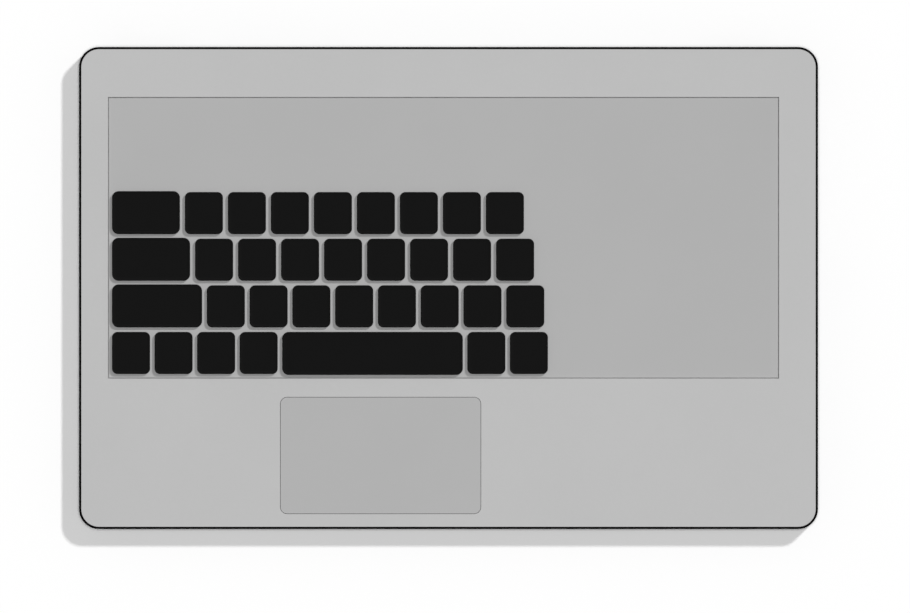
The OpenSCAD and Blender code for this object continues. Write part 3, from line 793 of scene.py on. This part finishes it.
@dataclass
class Keyboard:
    """The plate, the membrane and, for each key that is left, its cap, links, dome and wire."""

    plate_thick: float = 0.8 * MM
    corners: Tuple[float, float] = (2.4 * MM, 2.9 * MM)
    wide_from: float = 20.0 * MM
    skirt: float = 0.9 * MM
    top_wall: float = 0.7 * MM
    rim_mm: float = 0.35
    dish_steps: Tuple[Tuple[float, float], ...] = ((0.9 * MM, 0.05 * MM), (1.3 * MM, 0.06 * MM))
    clip: Point = (1.0 * MM, 2.0 * MM, 0.6 * MM)
    clip_at: Tuple[float, float] = (5.45 * MM, 4.4 * MM)
    link_length: float = 10.4 * MM
    link_height: float = 0.6 * MM
    link_bar: float = 0.7 * MM
    link_widths: Tuple[float, float] = (9.6 * MM, 7.8 * MM)
    link_rise: float = 1.6 * MM
    link_middle: float = 15.65 * MM
    pivot_radius: float = 0.25 * MM
    dome_radii: Tuple[float, float] = (3.0 * MM, 1.5 * MM)
    dome_wall: float = 0.5 * MM
    wire_radius: float = 0.4 * MM
    wire_back: float = 6.6 * MM
    wire_arm: float = 6.8 * MM
    wire_toe: float = 1.5 * MM
    wire_gap: float = 3.2 * MM
    wire_heights: Tuple[float, float] = (16.35 * MM, 15.85 * MM)
    caps: Dict[float, Work] = field(default_factory=dict)

    def build(self) -> None:
        """Builds the plate, then key after key."""
        plate = Work.copy_of("plate_sheet", "keyboard_plate").soften(0.08)
        plate.dress(PLATE_METAL).fit(Body.BASE, "plate_aluminium", "keyboard_plate")
        film = Work.copy_of("membrane_sheet", "keyboard_membrane").smooth()
        film.dress(POLYESTER).fit(Body.BASE, "film", "keyboard_membrane")
        links, dome = self._links(), self._dome()
        for joint in frame["joints"]:
            if joint["type"] == "slide":
                self.key(joint["child"], joint["name"], -min(joint["range_m"]), links, dome)
        for pattern in (links, dome, *self.caps.values()):
            pattern.discard()

    def key(self, name: str, joint: str, travel: float, links: Work, dome: Work) -> None:
        """Fits one key.

        Args:
            name: the key's node, which is also its body.
            joint: the joint that it travels on; not used.
            travel: how far it goes down; not used.
            links: pattern of its scissor pair.
            dome: pattern of its rubber dome.
        """
        low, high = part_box(name)
        middle, width = (low + high) / 2, round(high.x - low.x, 5)
        if width not in self.caps:
            self.caps[width] = self._cap(width, high.y - low.y, low.z, high.z)
        place = shift(middle.x, middle.y)
        cap = self.caps[width].copy(name + "_cap", place)
        cap.dress(KEY_PLASTIC).fit(name, "key_plastic", name)
        ledge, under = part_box("rubber_domes")[0].z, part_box("rubber_domes")[1].z
        parts = [(links.copy(name + "_links", place), LINK_PLASTIC, "link_plastic", "scissor_links",
                  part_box("scissor_links")[0].z),
                 (dome.copy(name + "_dome", place), DOME_RUBBER, "dome_rubber", "rubber_domes", ledge)]
        if width > self.wide_from:
            parts.append((self._wire(name + "_wire", width, place), PLATED_STEEL, "bright_steel",
                          "stabiliser_bars", ledge + self.plate_thick))
        for piece, finish, slot, node, foot in parts:
            piece.dress(finish).fit(Body.BASE, slot, node)
            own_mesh(piece.obj)

    def _cap(self, width: float, depth: float, low: float, high: float) -> Work:
        """Models a hollow key cap with a shallow dish, round the z axis.

        Args:
            width: its size along x.
            depth: its size along y.
            low: height of its lower edge.
            high: height of its top.

        Returns:
            The cap.
        """
        cap = Work.box("cap_pattern", (-width / 2, -depth / 2, low), (width / 2, depth / 2, high))
        corner = self.corners[width > self.wide_from]
        cap.edges(lambda a, b: abs(a.z - b.z) > 0.5 * MM).round_edges(corner, 8)
        cap.faces(lambda m, n: n.z < -0.9).inset(self.skirt)
        cap.extrude((0, 0, high - low - self.top_wall)).close()
        cap.soften(self.rim_mm, 3)
        top = high - 0.001 * MM
        for by, drop in self.dish_steps:
            cap.faces(lambda m, n, top=top: n.z > 0.99 and m.z > top).inset(by, drop)
            top -= drop
        cap.close()
        half = Vector(self.clip) / 2
        for x in (-self.clip_at[0], self.clip_at[0]):
            for y in (-self.clip_at[1], self.clip_at[1]):
                at = Vector((x, y, high - self.top_wall - half.z))
                cap.join(Work.box("clip", at - half, at + half))
        return cap.smooth()

    def _link(self, width: float, tilt: float) -> Work:
        """Models one tilted link: a bar bent into a frame.

        Args:
            width: its size along x.
            tilt: how far it is turned about x.

        Returns:
            The link.
        """
        half = Vector((width, self.link_length, self.link_height)) / 2
        link = Work.box("link", -half, half)
        link.faces(lambda m, n: abs(n.z) > 0.9).inset(self.link_bar).bridge().close()
        link.soften(0.12)
        link.obj.data.transform(shift(z=self.link_middle) @ Matrix.Rotation(tilt, 4, "X"))
        return link

    def _links(self) -> Work:
        """Models the crossed pair of links with the pins on which they turn."""
        tilt = math.asin(self.link_rise / self.link_length)
        outer, inner = (self._link(w, t) for w, t in zip(self.link_widths, (tilt, -tilt)))
        middle = sum(self.link_widths) / 4
        length = (self.link_widths[0] - self.link_widths[1]) / 2 + self.link_bar
        for x in (-middle, middle):
            at = (x, 0, self.link_middle)
            outer.join(Work.turned("pin", at, (self.pivot_radius,) * 2, length, Axis.X, 12))
        return outer.join(inner).smooth()

    def _dome(self) -> Work:
        """Models the hollow rubber dome, round the z axis."""
        low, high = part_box("rubber_domes")[0].z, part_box("rubber_domes")[1].z
        dome = Work.turned("dome", (0, 0, (low + high) / 2), self.dome_radii, high - low, sides=28)
        dome.faces(lambda m, n: n.z < -0.9).inset(self.dome_wall)
        dome.extrude((0, 0, high - low - self.dome_wall))
        bpy.ops.transform.resize(value=(0.5, 0.5, 1.0))
        return dome.close().soften(0.2, 3)

    def _wire(self, name: str, width: float, place: Matrix) -> Work:
        """Bends the stabiliser wire of a wide key.

        Args:
            name: the wire's name.
            width: the key's size along x.
            place: the move to the key.

        Returns:
            The wire.
        """
        x = width / 2 - self.wire_gap
        back, front = self.wire_back, self.wire_back - self.wire_arm
        high, low = self.wire_heights
        route = [(self.wire_toe - x, front, low), (-x, front, low), (-x, back, high),
                 (x, back, high), (x, front, low), (x - self.wire_toe, front, low)]
        return Work.wire(name, [place @ Vector(point) for point in route], self.wire_radius)


@dataclass
class Touchpad:
    """The pad, its board and the ribbon that runs from it to the mainboard."""

    edge_mm: float = 0.25
    pad_thick: float = 1.3 * MM
    board_thick: float = 1.02 * MM
    ribbon_cuts: int = 7
    ribbon_bend: float = 0.8

    def build(self) -> None:
        """Builds the touchpad."""
        pad = Work.copy_of("pad_plate", "touchpad").soften(self.edge_mm)
        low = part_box("touchpad")[1].z - self.pad_thick
        pad.dress(DARK_STEEL).dress(PAD_FILM, lambda m, n: m.z > low)
        pad.fit(Body.TOUCHPAD, "touchpad_film", "touchpad")
        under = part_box("touchpad_board")[1].z - self.board_thick
        board = dressed_board("pad_board", "touchpad_board", lambda m, n: m.z < under)
        board.fit(Body.TOUCHPAD, "green_board", "touchpad_board")
        self.ribbon()

    def ribbon(self) -> None:
        """Lays the ribbon from the pad's plug back and down to the mainboard."""
        ribbon = Work.copy_of("pad_ribbon", "touchpad_ribbon")
        ribbon.faces(lambda m, n: True)
        bpy.ops.mesh.subdivide(number_cuts=self.ribbon_cuts)
        ribbon.close().smooth().dress(RIBBON)
        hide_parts("touchpad_ribbon")
        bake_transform(ribbon.obj)
        log.info("%s between touchpad and base: %d faces", ribbon.obj.name, len(ribbon.obj.data.polygons))


def dressed_board(name: str, node: str, chips: FaceTest) -> Work:
    """Dresses a circuit board: mask on its faces, bare fibre on its sawn edges, black chips.

    Args:
        name: the new piece's name.
        node: its CAD node.
        chips: tells the faces of chips and sockets from the board's own.

    Returns:
        The board.
    """
    board = Work.copy_of(name, node).soften(0.08)
    return board.dress(BOARD_GREEN).dress(BOARD_EDGE, lambda m, n: abs(n.z) < 0.3).dress(CHIP_EPOXY, chips)


@dataclass(frozen=True)
class Port:
    """One kind of flat socket: its node, the y of each one's middle, its tongue's width, and its contacts."""

    name: str
    node: str
    middles: Tuple[float, ...]
    tongue: float
    contacts: int
    pitch: float
    width: float


@dataclass
class Electronics:
    """The mainboard with its cards, and the sockets at the sides."""

    ports: Tuple[Port, ...] = (
        Port("usb", "usb_sockets", (26 * MM, 48 * MM), 11 * MM, 4, 2.3 * MM, 1.1 * MM),
        Port("video", "video_socket", (71 * MM,), 12.4 * MM, 10, 1.1 * MM, 0.5 * MM))
    boards: Tuple[Tuple[str, str, float], ...] = (
        ("main_board", "mainboard", 1.25 * MM), ("memory_card", "memory_module", 1.02 * MM),
        ("ssd_card", "ssd_module", 0.82 * MM))
    die: Tuple[Point, Point] = ((4 * MM, 40 * MM, 7.3 * MM), (16 * MM, 50 * MM, 8 * MM))
    cell: Tuple[Point, Point] = ((36 * MM, -18 * MM, 7 * MM), (56 * MM, 2 * MM, 10 * MM))
    shell: float = 0.4 * MM
    tongue: Tuple[float, float] = (9.0 * MM, 1.8 * MM)
    tongue_drop: float = 1.0 * MM
    contact_in: float = 0.8 * MM
    contact_length: float = 6.5 * MM
    contact_height: float = 0.15 * MM
    power_pin: Tuple[Point, Point] = ((-162.3 * MM, 59.1 * MM, 7.8 * MM), (-154.0 * MM, 60.9 * MM, 9.6 * MM))

    def build(self) -> None:
        """Builds the boards and the sockets."""
        for name, node, thick in self.boards:
            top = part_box(node)[0].z + thick
            board = dressed_board(name, node, lambda m, n, top=top: m.z > top)
            if node == "mainboard":
                board.dress(SILICON, inside(*self.die)).dress(PLATED_STEEL, inside(*self.cell))
            board.fit(Body.BASE, "green_board", node)
        self.sockets()

    def sockets(self) -> None:
        """Builds the plated shells, their tongues and contacts, and the two round sockets."""
        for port in self.ports:
            low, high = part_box(port.node)
            under = high.z - self.shell - self.tongue_drop - self.tongue[1]
            rear, tip = low.x + 2 * self.shell, low.x + self.tongue[0]
            tongues = [inside((rear, y - port.tongue / 2, under),
                              (tip, y + port.tongue / 2, under + self.tongue[1])) for y in port.middles]
            shells = Work.copy_of(port.name + "_shells", port.node).soften(0.12)
            shells.dress(PLATED_STEEL).dress(
                SOCKET_NYLON, lambda m, n, rear=rear, tongues=tongues: (n.x > 0.9 and m.x < rear)
                or any(tongue(m, n) for tongue in tongues))
            shells.fit(Body.BASE, "bright_steel", port.node)
            self.contacts(port, tip, under)
        jack = Work.copy_of("audio_barrel", "audio_jack").soften(0.15)
        jack.dress(SOCKET_NYLON).fit(Body.BASE, "socket_plastic", "audio_jack")
        power = Work.copy_of("power_barrel", "power_jack").soften(0.15)
        power.dress(SOCKET_NYLON).dress(PLATED_STEEL, inside(*self.power_pin))
        power.fit(Body.BASE, "socket_plastic", "power_jack")

    def contacts(self, port: Port, tip: float, under: float) -> None:
        """Lays spring contacts along the underside of the tongues of one kind of socket.

        Args:
            port: the kind of socket.
            tip: x of the tongues' free end.
            under: height of their underside.
        """
        front, low, half = tip - self.contact_in, under - self.contact_height, port.width / 2
        pattern = Work.box("contact", (front - self.contact_length, -half, low), (front, half, under))
        pattern.edges(lambda a, b: min(a.x, b.x) > front - 0.01 * MM and max(a.z, b.z) < low + 0.01 * MM)
        pattern.round_edges(self.contact_height * 0.7, 3).close()
        made = [pattern.copy("contact", shift(y=middle + (i - (port.contacts - 1) / 2) * port.pitch))
                for middle in port.middles for i in range(port.contacts)]
        pattern.discard()
        strips = made[0].join(*made[1:]).smooth()
        strips.obj.name = port.name + "_contacts"
        strips.dress(GOLD).fit(Body.BASE, "copper")


@dataclass
class Cooling:
    """The heat pipe, its fins, and the fan."""

    def build(self) -> None:
        """Builds the cooling pieces."""
        for name, node, edge, finish, body, slot in (
                ("pipe", "heat_pipe", 0.2, COPPER, Body.BASE, "copper"),
                ("fins", "fin_stack", 0.05, COPPER, Body.BASE, "copper"),
                ("fan_box", "fan_housing", 0.15, DARK_STEEL, Body.BASE, "dark_steel"),
                ("rotor", "fan_rotor", 0.12, SOCKET_NYLON, Body.FAN, "fan_plastic")):
            Work.copy_of(name, node).soften(edge).dress(finish).fit(body, slot, node)


@dataclass
class Insides:
    """The battery, the speakers and the hinge brackets."""

    def build(self) -> None:
        """Builds what lies round the boards."""
        for name, node, edge, finish, slot in (
                ("cell_pack", "battery", 0.6, BATTERY_WRAP, "battery_wrap"),
                ("speaker_boxes", "speakers", 0.4, SOCKET_NYLON, "fan_plastic"),
                ("hinge_steel", "hinge_brackets", 0.3, PLATED_STEEL, "bright_steel")):
            Work.copy_of(name, node).soften(edge).dress(finish).fit(Body.BASE, slot, node)


# ---------------------------------------------------------------- studio


@dataclass
class Studio:
    """The pale floor, the sun and sky, and the camera straight above."""

    floor_size: float = 6.0
    sky: float = 0.12
    overhead: float = 0.5
    sun_slope: float = 0.486
    sun_angle: float = 4.5
    overhead_angle: float = 8.0
    card: float = 0.8
    view_width: float = 0.4021
    view_over: Tuple[float, float] = (2.87 * MM, -8.17 * MM)
    view_height: float = 1.0

    def build(self) -> None:
        """Builds the surroundings."""
        bpy.context.scene.view_settings.view_transform = "Standard"
        self.world()
        self.floor()
        self.lamp("sun", 1.0 - self.sky - self.overhead, self.sun_slope, self.sun_angle)
        softbox = self.lamp("softbox", self.overhead, 0.0, self.overhead_angle)
        softbox.visible_glossy = False
        self.camera()

    def _seen(self, tree: bpy.types.NodeTree) -> bpy.types.NodeSocket:
        """Adds a value of 1 for what is seen straight, in a reflection or through glass.

        Args:
            tree: the world's or the floor's node tree.

        Returns:
            The value.
        """
        path = add_node(tree, "ShaderNodeLightPath")
        first = add_node(tree, "ShaderNodeMath", {0: path.outputs["Is Camera Ray"],
                                                  1: path.outputs["Is Glossy Ray"]}, operation="MAXIMUM")
        return add_node(tree, "ShaderNodeMath", {0: first.outputs[0], 1: path.outputs["Is Transmission Ray"]},
                        operation="MAXIMUM").outputs[0]

    def world(self) -> None:
        """Makes a plain sky that lights softly and is seen as white."""
        world = bpy.data.worlds.new("sky")
        bpy.context.scene.world = world
        world.use_nodes = True
        tree = world.node_tree
        tree.nodes.clear()
        soft = add_node(tree, "ShaderNodeBackground", {"Color": (1, 1, 1, 1), "Strength": self.sky})
        white = add_node(tree, "ShaderNodeBackground", {"Color": (1, 1, 1, 1), "Strength": 1.0})
        mixed = add_node(tree, "ShaderNodeMixShader", {0: self._seen(tree), 1: soft.outputs[0],
                                                       2: white.outputs[0]})
        add_node(tree, "ShaderNodeOutputWorld", {"Surface": mixed.outputs[0]})

    def floor(self) -> None:
        """Lays the floor: white to the eye, a little darker as a source of bounced light."""
        Work.clear()
        bpy.ops.mesh.primitive_plane_add(size=self.floor_size)
        floor = bpy.context.active_object
        floor.name = "floor"
        material = bpy.data.materials.new("white_card")
        material.use_nodes = True
        tree = material.node_tree
        tree.nodes.clear()
        seen = add_node(tree, "ShaderNodeBsdfDiffuse", {"Color": (1, 1, 1, 1)})
        plain = add_node(tree, "ShaderNodeBsdfDiffuse", {"Color": (self.card, self.card, self.card, 1)})
        mixed = add_node(tree, "ShaderNodeMixShader", {0: self._seen(tree), 1: plain.outputs[0],
                                                       2: seen.outputs[0]})
        add_node(tree, "ShaderNodeOutputMaterial", {"Surface": mixed.outputs[0]})
        floor.data.materials.append(material)

    def lamp(self, name: str, share: float, slope: float, angle: float) -> bpy.types.Object:
        """Hangs a far lamp over the object, behind it on the right.

        Args:
            name: its name.
            share: how much of the light on a white floor it gives.
            slope: how far its light goes left, and as far to the front, as it falls by one.
            angle: how large it looks, in degrees.

        Returns:
            The lamp.
        """
        Work.clear()
        bpy.ops.object.light_add(type="SUN")
        lamp = bpy.context.active_object
        lamp.name = name
        travel = Vector((-slope, -slope, -1.0)).normalized()
        lamp.data.energy = share * math.pi / -travel.z
        lamp.data.angle = math.radians(angle)
        lamp.rotation_euler = travel.to_track_quat("-Z", "Y").to_euler()
        return lamp

    def camera(self) -> None:
        """Hangs the camera straight above, with no perspective."""
        Work.clear()
        bpy.ops.object.camera_add(location=(*self.view_over, self.view_height))
        camera = bpy.context.active_object
        camera.name = "camera"
        camera.data.type = "ORTHO"
        camera.data.ortho_scale = self.view_width
        bpy.context.scene.camera = camera


def main() -> None:
    """Builds the studio and every sub-assembly."""
    logging.basicConfig(level=logging.INFO, format="%(message)s")
    Studio().build()
    for assembly in (Housing(), Keyboard(), Touchpad(), Electronics(), Cooling(), Insides()):
        assembly.build()
    Work.clear()


if __name__ == "__main__":
    main()
